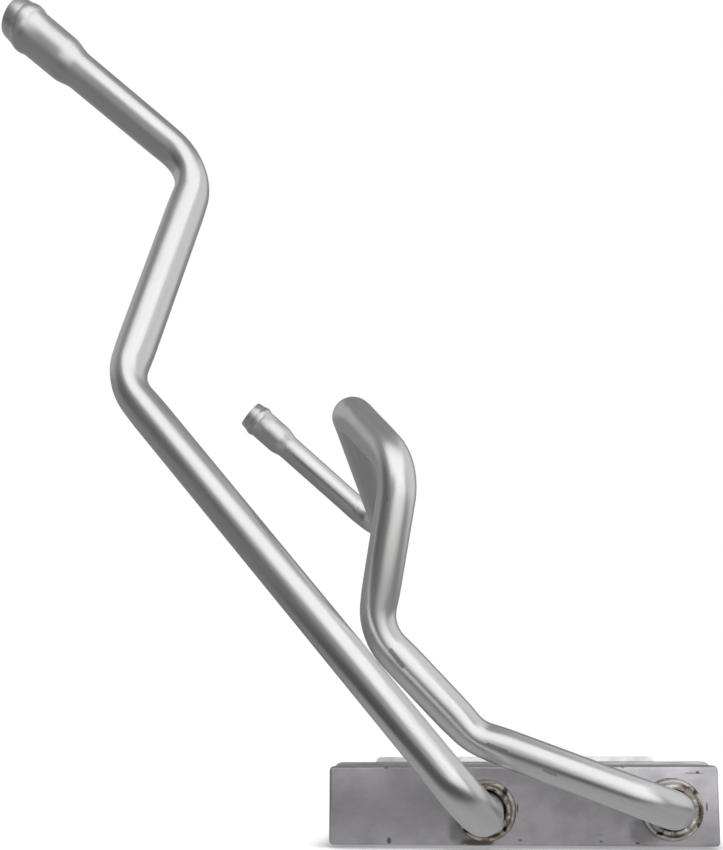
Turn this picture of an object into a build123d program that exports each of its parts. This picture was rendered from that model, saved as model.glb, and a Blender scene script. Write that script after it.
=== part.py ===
from build123d import *
import os
from math import hypot

os.makedirs("parts", exist_ok=True)

# Heater core: a brazed aluminium matrix of flat tubes and folded fins between two
# tanks, with both water pipes leaving the front tank.
# Frame: X along the tanks' long side, Y from the front tank towards the return tank,
# Z up through the thickness of the core. Origin at the centre of the return tank's outer
# face, which is the end that slides into the heater case first.
# All lengths are in millimetres.

# Driving dimensions of the matrix
TUBE_COUNT = 16
TUBE_DEPTH = 32.0
TUBE_THICKNESS = 2.0
TUBE_WALL = 0.4
FIN_HEIGHT = 8.0
FIN_SHEET = 0.3
FIN_WAVES = 20
FIN_SETBACK = 1.5
MATRIX_LENGTH = 132.0
SIDE_SHEET = 1.2
RIB_LENGTH = 104.0
RIB_WIDTH = 9.0
RIB_HEIGHT = 1.2

# Driving dimensions of the tanks and headers
TANK_SHEET = 1.5
TANK_DEPTH = 24.5
TANK_INSIDE_RADIUS = 0.4
TANK_EDGE_RADIUS = 1.2
TANK_SIDE_MARGIN = 0.8
TANK_FACE_MARGIN = 1.5
HEADER_SHEET = 1.5
RIM_SHEET = 1.2
RIM_HEIGHT = 4.5
TUBE_PROTRUSION = 2.0
BAFFLE_SHEET = 1.2
BRAZE_GAP = 0.05

# Driving dimensions of the pipes
PIPE_DIAMETER = 15.875
PIPE_WALL = 1.2
BEND_RADIUS = 22.0
PIPE_INTO_TANK = 3.0
HOSE_DIAMETER = 19.05
LIP_DIAMETER = 17.4
LIP_LENGTH = 4.5
BEAD_DIAMETER = 20.6
BEAD_LENGTH = 5.0
BARREL_LENGTH = 14.5
TAPER_LENGTH = 8.0

# Driving dimensions of the port collars
COLLAR_DIAMETER = 26.6
COLLAR_WALL = 1.8
COLLAR_HEIGHT = 3.2
COLLAR_ROUNDING = 1.0
STAKE_COUNT = 8
STAKE_WIDTH = 4.0
STAKE_DEPTH = 1.6
STAKE_GRIP = 0.9

# The pipes: port centre, straight reach out of the tank, then the corner points of the
# bends and the centre of the mouth, all from the centre of the front tank's face
LEFT_PORT_X = -15.7
LEFT_PORT_DROP = 2.1
LEFT_REACH = 54.0
LEFT_CORNERS = [(-162.5, -55.5, 176.5), (-142.0, -30.0, 287.0)]
LEFT_MOUTH = (-213.0, -63.0, 338.5)
RIGHT_PORT_X = 65.5
RIGHT_PORT_DROP = 1.5
RIGHT_REACH = 28.0
RIGHT_CORNERS = [
    (-19.5, -28.0, 30.5),
    (-60.0, -38.0, 74.0),
    (-47.0, -54.5, 138.0),
    (-73.5, -30.0, 173.0),
    (-83.0, 177.0, 168.0),
]
RIGHT_MOUTH = (-167.5, 138.5, 241.0)

# Sizes that follow from the driving dimensions
tube_pitch = TUBE_THICKNESS + FIN_HEIGHT
stack_width = TUBE_COUNT * tube_pitch + FIN_HEIGHT
core_width = stack_width + 2 * SIDE_SHEET
tank_length = core_width + 2 * TANK_SIDE_MARGIN
tank_height = TUBE_DEPTH + 2 * TANK_FACE_MARGIN
tank_corner_radius = TANK_INSIDE_RADIUS + TANK_SHEET
rim_reach = BRAZE_GAP + RIM_SHEET
half_matrix = MATRIX_LENGTH / 2
header_front = half_matrix + HEADER_SHEET
half_length = header_front + TANK_DEPTH
face_centre = Vector(0, -2 * half_length, 0)
middle_plane = Plane.XZ.offset(half_length)
pipe_radius = PIPE_DIAMETER / 2
port_radius = pipe_radius + BRAZE_GAP
end_length = LIP_LENGTH + BEAD_LENGTH + BARREL_LENGTH + TAPER_LENGTH
collar_inner_radius = COLLAR_DIAMETER / 2 - COLLAR_WALL


def facing_front(distance, x=0.0, drop=0.0):
    """Plane seen from the front, at a distance before the middle of the core."""
    return Plane(origin=(x, -half_length - distance, -drop), x_dir=(1, 0, 0), z_dir=(0, -1, 0))


def finish(builder, name):
    """Label a finished piece and write it out."""
    builder.part.label = name
    export_step(builder.part, f"parts/{name}.step")


def drawn_pan():
    """Open tank pan with its flat face to the front."""
    with BuildPart() as pan:
        with BuildSketch(facing_front(header_front)):
            RectangleRounded(tank_length, tank_height, tank_corner_radius)
        extrude(amount=TANK_DEPTH)
        fillet(pan.faces().sort_by(Axis.Y)[0].edges(), TANK_EDGE_RADIUS)
        with BuildSketch(facing_front(header_front)):
            RectangleRounded(
                tank_length - 2 * TANK_SHEET,
                tank_height - 2 * TANK_SHEET,
                TANK_INSIDE_RADIUS,
            )
        extrude(amount=TANK_DEPTH - TANK_SHEET, mode=Mode.SUBTRACT)
    return pan


def hose_end_outline(offset_inward):
    """One side of the formed hose end, from the mouth to the plain tube."""
    lip = LIP_DIAMETER / 2 - offset_inward
    barrel = HOSE_DIAMETER / 2 - offset_inward
    bead = BEAD_DIAMETER / 2 - offset_inward
    tube = pipe_radius - offset_inward
    bead_end = LIP_LENGTH + BEAD_LENGTH
    barrel_end = bead_end + BARREL_LENGTH
    Line((0, lip), (LIP_LENGTH, barrel))
    ThreePointArc((LIP_LENGTH, barrel), (LIP_LENGTH + BEAD_LENGTH / 2, bead), (bead_end, barrel))
    Line((bead_end, barrel), (barrel_end, barrel))
    Spline((barrel_end, barrel), (end_length, tube), tangents=[(1, 0), (1, 0)])


def bent_pipe(port_x, port_drop, reach, corners, mouth):
    """Tube from inside the front tank, round its bends, to a beaded hose end."""
    inner_end = (port_x, TANK_SHEET + PIPE_INTO_TANK, -port_drop)
    first_corner = (port_x, -reach, -port_drop)
    inward = (Vector(corners[-1]) - Vector(mouth)).normalized()
    end_start = Vector(mouth) + inward * end_length
    points = [face_centre + Vector(point) for point in (inner_end, first_corner, *corners, end_start)]
    mouth_centre = face_centre + Vector(mouth)
    end_plane = Plane(origin=mouth_centre, x_dir=inward, z_dir=inward.cross(Vector(0, 1, 0)))
    with BuildPart() as pipe:
        with BuildLine() as route:
            FilletPolyline(*points, radius=BEND_RADIUS)
        with BuildSketch(Plane(origin=route.line @ 0, z_dir=route.line % 0)):
            Circle(pipe_radius)
            Circle(pipe_radius - PIPE_WALL, mode=Mode.SUBTRACT)
        sweep(path=route.line)
        with BuildSketch(end_plane):
            with BuildLine():
                hose_end_outline(0)
                hose_end_outline(PIPE_WALL)
                Line((0, LIP_DIAMETER / 2), (0, LIP_DIAMETER / 2 - PIPE_WALL))
                Line((end_length, pipe_radius), (end_length, pipe_radius - PIPE_WALL))
            make_face()
        revolve(axis=Axis(mouth_centre, inward))
    return pipe


# Flat tubes, each a thin-walled channel with rounded noses
tube_reach = header_front + TUBE_PROTRUSION
for index in range(TUBE_COUNT):
    tube_x = (index - (TUBE_COUNT - 1) / 2) * tube_pitch
    with BuildPart() as flat_tube:
        with BuildSketch(facing_front(-tube_reach, tube_x)):
            SlotOverall(TUBE_DEPTH, TUBE_THICKNESS, rotation=90)
            SlotOverall(
                TUBE_DEPTH - 2 * TUBE_WALL, TUBE_THICKNESS - 2 * TUBE_WALL, rotation=90, mode=Mode.SUBTRACT
            )
        extrude(amount=2 * tube_reach)
    finish(flat_tube, f"flat_tube_{index + 1:02d}")

# Folded fins: one zigzag strip between each pair of tubes and outside the end tubes
half_wave = (MATRIX_LENGTH - 2 * FIN_SETBACK) / (2 * FIN_WAVES)
sheet_across = FIN_SHEET * hypot(half_wave, FIN_HEIGHT) / half_wave
ridge = FIN_HEIGHT / 2
for index in range(TUBE_COUNT + 1):
    fin_x = (index - TUBE_COUNT / 2) * tube_pitch
    right_side = []
    left_side = []
    for fold in range(2 * FIN_WAVES + 1):
        fold_y = FIN_SETBACK - half_matrix + fold * half_wave
        on_right = fold % 2 == 0
        right_side.append((ridge if on_right else sheet_across - ridge, fold_y))
        left_side.append((ridge - sheet_across if on_right else -ridge, fold_y))
    with BuildPart() as fin_strip:
        with BuildSketch(Plane(origin=(fin_x, -half_length, -TUBE_DEPTH / 2))):
            with BuildLine():
                Polyline(*right_side, *reversed(left_side), close=True)
            make_face()
        extrude(amount=TUBE_DEPTH)
    finish(fin_strip, f"fin_strip_{index + 1:02d}")

# Side plates with one pressed rib each, closing the stack at its two ends
for side, side_name in ((-1, "left"), (1, "right")):
    inner_face = Plane(
        origin=(side * stack_width / 2, -half_length, 0), x_dir=(0, 1, 0), z_dir=(side, 0, 0)
    )
    with BuildPart() as side_plate:
        with BuildSketch(inner_face):
            Rectangle(MATRIX_LENGTH, TUBE_DEPTH)
        extrude(amount=SIDE_SHEET)
        with BuildSketch(inner_face.offset(SIDE_SHEET)):
            SlotOverall(RIB_LENGTH, RIB_WIDTH)
        extrude(amount=RIB_HEIGHT)
        with BuildSketch(inner_face):
            SlotOverall(RIB_LENGTH - 2 * SIDE_SHEET, RIB_WIDTH - 2 * SIDE_SHEET)
        extrude(amount=RIB_HEIGHT, mode=Mode.SUBTRACT)
    finish(side_plate, f"side_plate_{side_name}")

# Headers: a slotted floor with a rim that wraps the tank pan
with BuildPart() as front_header:
    with BuildSketch(facing_front(half_matrix)):
        RectangleRounded(
            tank_length + 2 * rim_reach, tank_height + 2 * rim_reach, tank_corner_radius + rim_reach
        )
    extrude(amount=HEADER_SHEET + RIM_HEIGHT)
    with BuildSketch(facing_front(header_front)):
        RectangleRounded(
            tank_length + 2 * BRAZE_GAP, tank_height + 2 * BRAZE_GAP, tank_corner_radius + BRAZE_GAP
        )
    extrude(amount=RIM_HEIGHT, mode=Mode.SUBTRACT)
    with BuildSketch(facing_front(half_matrix)):
        with GridLocations(tube_pitch, tube_pitch, TUBE_COUNT, 1):
            SlotOverall(TUBE_DEPTH + 2 * BRAZE_GAP, TUBE_THICKNESS + 2 * BRAZE_GAP, rotation=90)
    extrude(amount=HEADER_SHEET, mode=Mode.SUBTRACT)
finish(front_header, "front_header")

with BuildPart() as rear_header:
    mirror(front_header.part, about=middle_plane)
finish(rear_header, "rear_header")

# Return tank at the far end, closed
plain_pan = drawn_pan()
with BuildPart() as return_tank:
    mirror(plain_pan.part, about=middle_plane)
finish(return_tank, "return_tank")

# Front tank with its two ports, and the baffle that parts them
with BuildPart() as inlet_outlet_tank:
    add(plain_pan.part)
    for port_x, port_drop in ((LEFT_PORT_X, LEFT_PORT_DROP), (RIGHT_PORT_X, RIGHT_PORT_DROP)):
        with BuildSketch(facing_front(half_length, port_x, port_drop)):
            Circle(port_radius)
        extrude(amount=-TANK_SHEET, mode=Mode.SUBTRACT)
finish(inlet_outlet_tank, "inlet_outlet_tank")

with BuildPart() as tank_baffle:
    with BuildSketch(facing_front(header_front)):
        Rectangle(BAFFLE_SHEET, tank_height - 2 * TANK_SHEET - 2 * BRAZE_GAP)
    extrude(amount=TANK_DEPTH - TANK_SHEET - BRAZE_GAP)
finish(tank_baffle, "tank_baffle")

# Collars on the tank face, staked inwards onto the pipes
for name, port_x, port_drop in (
    ("left_collar", LEFT_PORT_X, LEFT_PORT_DROP),
    ("right_collar", RIGHT_PORT_X, RIGHT_PORT_DROP),
):
    collar_top = facing_front(half_length + COLLAR_HEIGHT, port_x, port_drop)
    with BuildPart() as collar:
        with BuildSketch(collar_top):
            Circle(COLLAR_DIAMETER / 2)
            Circle(collar_inner_radius, mode=Mode.SUBTRACT)
        extrude(amount=-COLLAR_HEIGHT)
        top_edges = collar.edges().group_by(Axis.Y)[0]
        fillet(top_edges.sort_by(SortBy.RADIUS)[-1], COLLAR_ROUNDING)
        with BuildSketch(collar_top.offset(-STAKE_DEPTH / 2)):
            with PolarLocations((port_radius + collar_inner_radius) / 2, STAKE_COUNT):
                Rectangle(collar_inner_radius - port_radius + 2 * STAKE_GRIP, STAKE_WIDTH)
        extrude(amount=-STAKE_DEPTH)
        with BuildSketch(collar_top):
            Circle(port_radius)
        extrude(amount=-COLLAR_HEIGHT, mode=Mode.SUBTRACT)
    finish(collar, name)

# Water pipes
left_pipe = bent_pipe(LEFT_PORT_X, LEFT_PORT_DROP, LEFT_REACH, LEFT_CORNERS, LEFT_MOUTH)
finish(left_pipe, "left_pipe")
right_pipe = bent_pipe(RIGHT_PORT_X, RIGHT_PORT_DROP, RIGHT_REACH, RIGHT_CORNERS, RIGHT_MOUTH)
finish(right_pipe, "right_pipe")
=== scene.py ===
from math import cos, pi, radians, sin, tan

import bmesh
import bpy
from bpy.props import FloatProperty, FloatVectorProperty, IntProperty, PointerProperty
from mathutils import Matrix, Vector


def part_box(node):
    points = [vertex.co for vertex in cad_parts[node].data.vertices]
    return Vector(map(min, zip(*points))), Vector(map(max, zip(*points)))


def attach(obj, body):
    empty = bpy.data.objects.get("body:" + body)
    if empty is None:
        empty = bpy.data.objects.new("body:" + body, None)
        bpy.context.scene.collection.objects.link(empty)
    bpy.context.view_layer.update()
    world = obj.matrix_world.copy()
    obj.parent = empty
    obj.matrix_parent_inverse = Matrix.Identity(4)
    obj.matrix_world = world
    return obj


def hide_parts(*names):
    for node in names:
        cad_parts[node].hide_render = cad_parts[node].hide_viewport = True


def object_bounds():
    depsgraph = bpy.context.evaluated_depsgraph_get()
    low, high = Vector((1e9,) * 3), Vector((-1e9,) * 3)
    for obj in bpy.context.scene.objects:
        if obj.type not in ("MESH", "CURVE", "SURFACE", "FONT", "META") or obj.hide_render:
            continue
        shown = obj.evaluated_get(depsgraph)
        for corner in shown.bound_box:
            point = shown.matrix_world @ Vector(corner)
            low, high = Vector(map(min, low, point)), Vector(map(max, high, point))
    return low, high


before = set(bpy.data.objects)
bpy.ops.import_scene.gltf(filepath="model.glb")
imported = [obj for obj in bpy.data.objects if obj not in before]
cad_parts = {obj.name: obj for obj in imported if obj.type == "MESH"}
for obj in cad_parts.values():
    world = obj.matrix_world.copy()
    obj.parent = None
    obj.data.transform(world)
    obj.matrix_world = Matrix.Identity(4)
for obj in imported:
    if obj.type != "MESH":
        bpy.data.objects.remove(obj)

bl_info = {
    "name": "Heater Core",
    "version": (1, 0, 0),
    "blender": (4, 5, 0),
    "location": "3D View > Sidebar > Heater Core",
    "description": "Dresses a brazed aluminium heater core with two bent water pipes",
    "category": "Object",
}

CAD_BOX = [list(corner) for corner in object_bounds()]
TANK_FACE = Vector((0.0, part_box("inlet_outlet_tank")[0][1], 0.0))

# Route of each pipe from the centre of the front tank's face, in metres
LEFT_PORT = Vector((-0.0157, 0.0, -0.0021))
LEFT_REACH = 0.054
LEFT_CORNERS = ((-0.1625, -0.0555, 0.1765), (-0.142, -0.030, 0.287))
LEFT_MOUTH = (-0.213, -0.063, 0.3385)
RIGHT_PORT = Vector((0.0655, 0.0, -0.0015))
RIGHT_REACH = 0.028
RIGHT_CORNERS = (
    (-0.0195, -0.028, 0.0305),
    (-0.060, -0.038, 0.074),
    (-0.047, -0.0545, 0.138),
    (-0.0735, -0.030, 0.173),
    (-0.083, 0.177, 0.168),
)
RIGHT_MOUTH = (-0.1675, 0.1385, 0.241)
PIPE_INSIDE_TANK = 0.0045

# How finely a pipe is drawn: vertices round it, rings in a run-out, degrees between the rings of
# a bend, the largest share of a straight run that a run-out takes, and rings in the hose end
PIPE_VERTICES = 72
RUN_OUT_STEPS = 3
BEND_STEP = 3.2
RUN_OUT_SHARE = 0.45
TAPER_STEPS = 8
BEAD_STEPS = 10

# Lengths of the hose end, from the plain tube to the mouth
TAPER_LENGTH = 0.008
BARREL_LENGTH = 0.0145
BEAD_LENGTH = 0.005
LIP_LENGTH = 0.0045

# Fins: strips, share of a wave that is flat crest, share of the crest that curls, and half the
# pitch of the louvres
FIN_STRIPS = 17
CREST_SHARE = 0.22
CURL_SHARE = 0.35
HALF_LOUVRE = 0.00055

# Collars: vertices round them, and how far the braze bed lies below the crown
COLLAR_VERTICES = 96
BED_DEPTH = 0.0014

# Stakes of each collar: direction and half width in degrees, and how far each rises from the braze
LEFT_STAKES = (
    (67, 24, 0.0010), (32, 7, 0.0006), (6, 12, 0.0009), (-20, 8, 0.0007), (-62, 21, 0.0010),
    (-96, 9, 0.0008), (-164, 17, 0.0009), (160, 13, 0.0008), (124, 14, 0.0010),
)
RIGHT_STAKES = (
    (87, 30, 0.0011), (18, 9, 0.0005), (-38, 11, 0.0010), (-70, 16, 0.0009), (-104, 11, 0.0008),
    (-158, 18, 0.0010), (163, 15, 0.0009),
)

# Zones of a collar's colour, each from where it starts to where it is full: the braze bed by its
# height off the tank and by its distance from the axis, the gap round the pipe with its painted shadow,
# and the foot, darkened with burnt flux and painted contact shadow
BED_TINT = (0.20, 0.165, 0.13, 1.0)
BED_RISE = (0.0024, 0.0016)
BED_EDGE = (0.0120, 0.0113)
GAP_SHADOW_TINT = (0.045, 0.036, 0.03, 1.0)
GAP_EDGE = (0.0096, 0.0088)
FOOT_RISE = (0.0024, 0.0008)
FOOT_EDGE = (0.0131, 0.0137)

# Tints on the collars from their port: x, z, half width, half height, colour, strength
LEFT_TINTS = (
    (0.0047, 0.0104, 0.0042, 0.0011, (0.60, 0.50, 0.42), 0.7),
    (0.0023, 0.0121, 0.0045, 0.0005, (0.22, 0.18, 0.13), 0.6),
    (0.0030, 0.0088, 0.0031, 0.0013, (0.04, 0.03, 0.025), 0.9),
    (0.0089, 0.0086, 0.0016, 0.0022, (0.035, 0.03, 0.018), 0.92),
    (0.0076, 0.0060, 0.0021, 0.0025, (0.25, 0.23, 0.18), 0.6),
    (0.0110, 0.0018, 0.0017, 0.0031, (0.62, 0.55, 0.45), 0.7),
    (0.0094, -0.0020, 0.0008, 0.0060, (0.05, 0.04, 0.035), 0.6),
    (0.0129, -0.0030, 0.0009, 0.0050, (0.16, 0.14, 0.09), 0.6),
    (0.0107, -0.0052, 0.0014, 0.0024, (0.40, 0.33, 0.24), 0.7),
    (0.0086, -0.0078, 0.0014, 0.0018, (0.03, 0.02, 0.01), 0.95),
    (0.0045, -0.0108, 0.0046, 0.0017, (0.28, 0.16, 0.13), 0.75),
    (-0.0002, -0.0130, 0.0032, 0.0014, (0.20, 0.09, 0.05), 0.8),
    (-0.0081, -0.0084, 0.0029, 0.0018, (0.03, 0.02, 0.02), 0.92),
    (-0.0112, -0.0050, 0.0012, 0.0042, (0.22, 0.18, 0.15), 0.6),
)
RIGHT_TINTS = (
    (0.0014, 0.0117, 0.0072, 0.0021, (0.82, 0.80, 0.76), 0.85),
    (0.0082, 0.0110, 0.0013, 0.0026, (0.50, 0.34, 0.31), 0.7),
    (0.0043, 0.0096, 0.0047, 0.0009, (0.28, 0.18, 0.16), 0.75),
    (0.0101, 0.0083, 0.0018, 0.0023, (0.04, 0.04, 0.04), 0.92),
    (0.0119, -0.0020, 0.0013, 0.0066, (0.10, 0.09, 0.085), 0.8),
    (0.0108, -0.0065, 0.0012, 0.0016, (0.04, 0.035, 0.02), 0.9),
    (0.0106, -0.0089, 0.0027, 0.0015, (0.72, 0.70, 0.58), 0.8),
    (0.0022, -0.0122, 0.0052, 0.0010, (0.62, 0.58, 0.48), 0.6),
    (0.0009, -0.0112, 0.0037, 0.0010, (0.30, 0.20, 0.15), 0.75),
    (-0.0059, -0.0101, 0.0025, 0.0010, (0.03, 0.02, 0.018), 0.95),
)

# The hose ends are duller than the drawn tube: extra roughness, and how far from the mouth it
# starts to fade and ends
FORMED_DULLNESS = 0.08
FORMED_REACH = (0.03, 0.05)

SCUFF_TINT = (0.14, 0.14, 0.155, 1.0)
# Scuffs on the right pipe: start, end, half width, strength
RIGHT_SCUFFS = (
    ((-0.0526, -0.2279, 0.0650), (-0.0478, -0.2266, 0.0588), 0.0011, 0.55),
    ((-0.0138, -0.2199, 0.0272), (-0.0064, -0.2198, 0.0243), 0.0008, 0.6),
    ((0.0086, -0.2194, 0.0169), (0.0130, -0.2193, 0.0149), 0.0008, 0.4),
    ((-0.0522, -0.2424, 0.1240), (-0.0523, -0.2427, 0.1224), 0.0005, 0.6),
)

# How far the crown of the bowed sheets lies below the middle
CROWN_DROP = 0.004
MARK_TINT = (0.1, 0.09, 0.13, 1.0)
# Marks on the front tank's face from its centre: x, z, half width, half height, strength
TANK_MARKS = (
    (-0.0587, -0.0154, 0.0013, 0.0019, 0.8), (-0.0600, 0.0168, 0.0016, 0.0007, 0.6),
    (-0.0015, -0.0009, 0.0006, 0.0028, 0.75), (0.0805, -0.0006, 0.0006, 0.0026, 0.7),
    (0.0755, 0.0141, 0.0056, 0.0005, 0.45), (0.0770, 0.0145, 0.0010, 0.0008, 0.8),
    (0.0448, 0.0168, 0.0011, 0.0006, 0.6), (-0.0006, -0.0150, 0.0013, 0.0007, 0.6),
    (0.0347, -0.0154, 0.0009, 0.0007, 0.7), (0.0505, -0.0160, 0.0012, 0.0007, 0.75),
    (0.0340, -0.0125, 0.0022, 0.0003, 0.35), (0.0620, 0.0098, 0.0003, 0.0018, 0.3),
)
# Patches on the face, brown flux and grey painted shadow: x, z, half width, half height, colour, strength,
# raggedness
TANK_STAINS_AND_SHADE = (
    # Brown burnt flux under the left collar
    (-0.0186, -0.0160, 0.0095, 0.0034, (0.11, 0.06, 0.025), 0.85, 0.5),
    # Grey painted shadow below and left of each collar
    (-0.0260, -0.0105, 0.0085, 0.0085, (0.16, 0.15, 0.16), 0.55, 0.3),
    (0.0535, -0.0110, 0.0085, 0.0075, (0.16, 0.15, 0.16), 0.5, 0.3),
    # A faint broad grey patch over the lower middle of the face
    (0.0200, -0.0060, 0.0300, 0.0120, (0.40, 0.385, 0.41), 0.15, 0.8),
)

# Soft boxes: azimuth from the front towards the right and elevation in degrees, then
# distance, width and height in metres and brightness
SOFT_BOXES = (
    ("key_light", 20.0, 41.0, 1.7, 2.4, 1.45, 0.86),
    ("low_light", 36.0, 0.0, 1.7, 1.75, 1.15, 0.82),
    ("right_light", 106.0, 26.0, 1.9, 2.35, 2.7, 0.42),
    ("left_light", -112.0, 36.0, 1.9, 2.4, 1.0, 0.2),
)
LIGHT_TARGET = (-0.05, 0.0, 0.12)

WHITE, BLACK = (1.0, 1.0, 1.0, 1.0), (0.0, 0.0, 0.0, 1.0)

# The floor as the camera sees it: plain white, and darker within reach of what stands on it, a painted
# contact shadow
TABLE_SIZE = 2.4
FLOOR_WHITE, FLOOR_CONTACT_SHADOW = 0.8, 0.2
CONTACT_REACH = 0.02

# The floor glows: what the metal mirrors of it is painted light
# The floor as the metal mirrors it: its level by the tank and away from it, in a dark patch at the
# front left and in a warm lit patch at the front right. Each reach is where a change starts and ends
TABLE_NEAR, TABLE_AWAY, TABLE_DARK, TABLE_LIT = 0.38, 0.18, 0.055, 0.88
NEAR_REACH = (0.08, 0.3)
FRONT_REACH = (-0.252, -0.285)
DARK_PATCH = (-0.10, -0.41, -0.019)
DARK_REACH = (0.3, 0.18)
LIT_PATCH = (0.32, -0.92, -0.019)
LIT_REACH = (0.6, 0.42)
LIT_COLOUR = (1.0, 0.985, 0.945)

# The room as the metal mirrors it, with a dark card that stands at the left in this direction
ROOM_COLOUR = (0.23, 0.23, 0.234, 1.0)
CARD_COLOUR = (0.07, 0.07, 0.072, 1.0)
CARD_WAY = (-0.785, -0.618, 0.05)
CARD_REACH = (0.55, 0.3)

# Camera where the photograph was taken from
CAMERA_PLACE = (-0.01006, -0.56465, 0.02798)
CAMERA_RIGHT = (0.9971, 0.0766, -0.0038)
CAMERA_FORWARD = (-0.0758, 0.9917, 0.1038)
CAMERA_LENS = 35.78
CAMERA_SHIFT = (-0.0830, 0.2699)


class HeaterCoreSizes(bpy.types.PropertyGroup):
    pipe_diameter: FloatProperty(
        name="Pipe diameter", description="Outside diameter of both water pipes",
        default=0.015875, subtype="DISTANCE", unit="LENGTH")
    pipe_wall: FloatProperty(
        name="Pipe wall", description="Wall thickness of the pipes",
        default=0.0012, subtype="DISTANCE", unit="LENGTH")
    bend_radius: FloatProperty(
        name="Bend radius", description="Radius of each bend at the middle of the pipe",
        default=0.022, subtype="DISTANCE", unit="LENGTH")
    bend_flattening: FloatProperty(
        name="Bend flattening", description="Share of its width that the pipe loses in a bend",
        default=0.08, subtype="FACTOR")
    bend_run_out: FloatProperty(
        name="Bend run-out", description="How far the flattening reaches into the straight runs",
        default=0.009, subtype="DISTANCE", unit="LENGTH")
    hose_diameter: FloatProperty(
        name="Hose end", description="Outside diameter of the barrel that takes the hose",
        default=0.01905, subtype="DISTANCE", unit="LENGTH")
    bead_diameter: FloatProperty(
        name="Bead", description="Diameter of the rolled bead",
        default=0.0206, subtype="DISTANCE", unit="LENGTH")
    lip_diameter: FloatProperty(
        name="Lip", description="Diameter of the lip at the mouth",
        default=0.0174, subtype="DISTANCE", unit="LENGTH")
    fin_waves: IntProperty(
        name="Fin waves", description="Number of folds to and fro in one fin strip", default=60)
    foil: FloatProperty(
        name="Foil", description="Thickness of the fin foil",
        default=0.0001, subtype="DISTANCE", unit="LENGTH")
    collar_diameter: FloatProperty(
        name="Collar", description="Outside diameter of the collars at the ports",
        default=0.0266, subtype="DISTANCE", unit="LENGTH")
    collar_wall: FloatProperty(
        name="Collar wall", description="Thickness of a collar's ring",
        default=0.0018, subtype="DISTANCE", unit="LENGTH")
    collar_height: FloatProperty(
        name="Collar height", description="How far a collar stands off the tank",
        default=0.0032, subtype="DISTANCE", unit="LENGTH")


class HeaterCoreFinish(bpy.types.PropertyGroup):
    pipe_colour: FloatVectorProperty(
        name="Pipe", description="Colour of the drawn pipes",
        default=(0.86, 0.86, 0.865), subtype="COLOR", min=0.0, max=1.0)
    tank_colour: FloatVectorProperty(
        name="Tank", description="Colour of the brazed tank sheet",
        default=(0.69, 0.67, 0.705), subtype="COLOR", min=0.0, max=1.0)
    # Lighter than the tank sheet: a painted highlight for the lit rim of the far end
    lit_far_colour: FloatVectorProperty(
        name="Far end", description="Colour of the cleaner sheet at the far end",
        default=(0.96, 0.96, 0.965), subtype="COLOR", min=0.0, max=1.0)
    collar_colour: FloatVectorProperty(
        name="Collar", description="Colour of the brazed collars",
        default=(0.72, 0.69, 0.63), subtype="COLOR", min=0.0, max=1.0)
    foil_colour: FloatVectorProperty(
        name="Fins", description="Colour of the fin foil",
        default=(0.62, 0.62, 0.63), subtype="COLOR", min=0.0, max=1.0)
    # This colour also darkens the collars' foot as painted contact shadow
    flux_and_shade_colour: FloatVectorProperty(
        name="Flux", description="Colour of the burnt flux",
        default=(0.12, 0.075, 0.04), subtype="COLOR", min=0.0, max=1.0)
    floor_colour: FloatVectorProperty(
        name="Floor", description="Colour of the floor",
        default=(0.93, 0.93, 0.93), subtype="COLOR", min=0.0, max=1.0)


def on_face(x, z):
    """A point on the front tank's face, from its centre."""
    return TANK_FACE + Vector((x, 0.0, z))


# Shader building

def feed(tree, node, inputs):
    """Put values or links on a node's sockets, which go by name, or by number as _0, _1 and so on."""
    for name, value in inputs.items():
        socket = node.inputs[int(name[1:]) if name[1:].isdigit() else name.replace("_", " ")]
        if isinstance(value, bpy.types.NodeSocket):
            tree.links.new(value, socket)
        else:
            socket.default_value = value


def put(tree, kind, settings=None, **inputs):
    """Add a shader node, with its settings and with values or links on its sockets."""
    made = tree.nodes.new(kind)
    for name, value in (settings or {}).items():
        setattr(made, name, value)
    feed(tree, made, inputs)
    return made


def new_group(name, inputs, outputs):
    """Start a node group with named sockets; returns its tree, input node and output node."""
    tree = bpy.data.node_groups.new(name, "ShaderNodeTree")
    for label, kind, value in inputs:
        socket = tree.interface.new_socket(name=label, in_out="INPUT", socket_type=kind)
        if value is not None:
            socket.default_value = value
    for label, kind in outputs:
        tree.interface.new_socket(name=label, in_out="OUTPUT", socket_type=kind)
    return tree, tree.nodes.new("NodeGroupInput"), tree.nodes.new("NodeGroupOutput")


def group_node(tree, name, **inputs):
    """Place a shared node group in a material."""
    return put(tree, "ShaderNodeGroup", {"node_tree": bpy.data.node_groups[name]}, **inputs)


def calc(tree, operation, first, second=0.0, clamp=False):
    """One sum on values or sockets."""
    settings = {"operation": operation, "use_clamp": clamp}
    return put(tree, "ShaderNodeMath", settings, _0=first, _1=second).outputs[0]


def times(tree, first, second):
    """The product of two values."""
    return calc(tree, "MULTIPLY", first, second)


def vector_calc(tree, operation, first, second=(0.0, 0.0, 0.0)):
    """One sum on vectors; it gives a value where the sum is a distance, a length or a dot product."""
    made = put(tree, "ShaderNodeVectorMath", {"operation": operation}, _0=first, _1=second)
    return made.outputs["Value" if operation in ("DISTANCE", "LENGTH", "DOT_PRODUCT") else "Vector"]


def scaled(tree, vector, factor):
    """A vector times a value."""
    settings = {"operation": "SCALE"}
    return put(tree, "ShaderNodeVectorMath", settings, Vector=vector, Scale=factor).outputs["Vector"]


def ramp(tree, value, low, high, to_low=0.0, to_high=1.0):
    """Map a value smoothly from one range to another, held at both ends."""
    return put(tree, "ShaderNodeMapRange", {"interpolation_type": "SMOOTHSTEP"}, Value=value,
               From_Min=low, From_Max=high, To_Min=to_low, To_Max=to_high).outputs[0]


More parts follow.
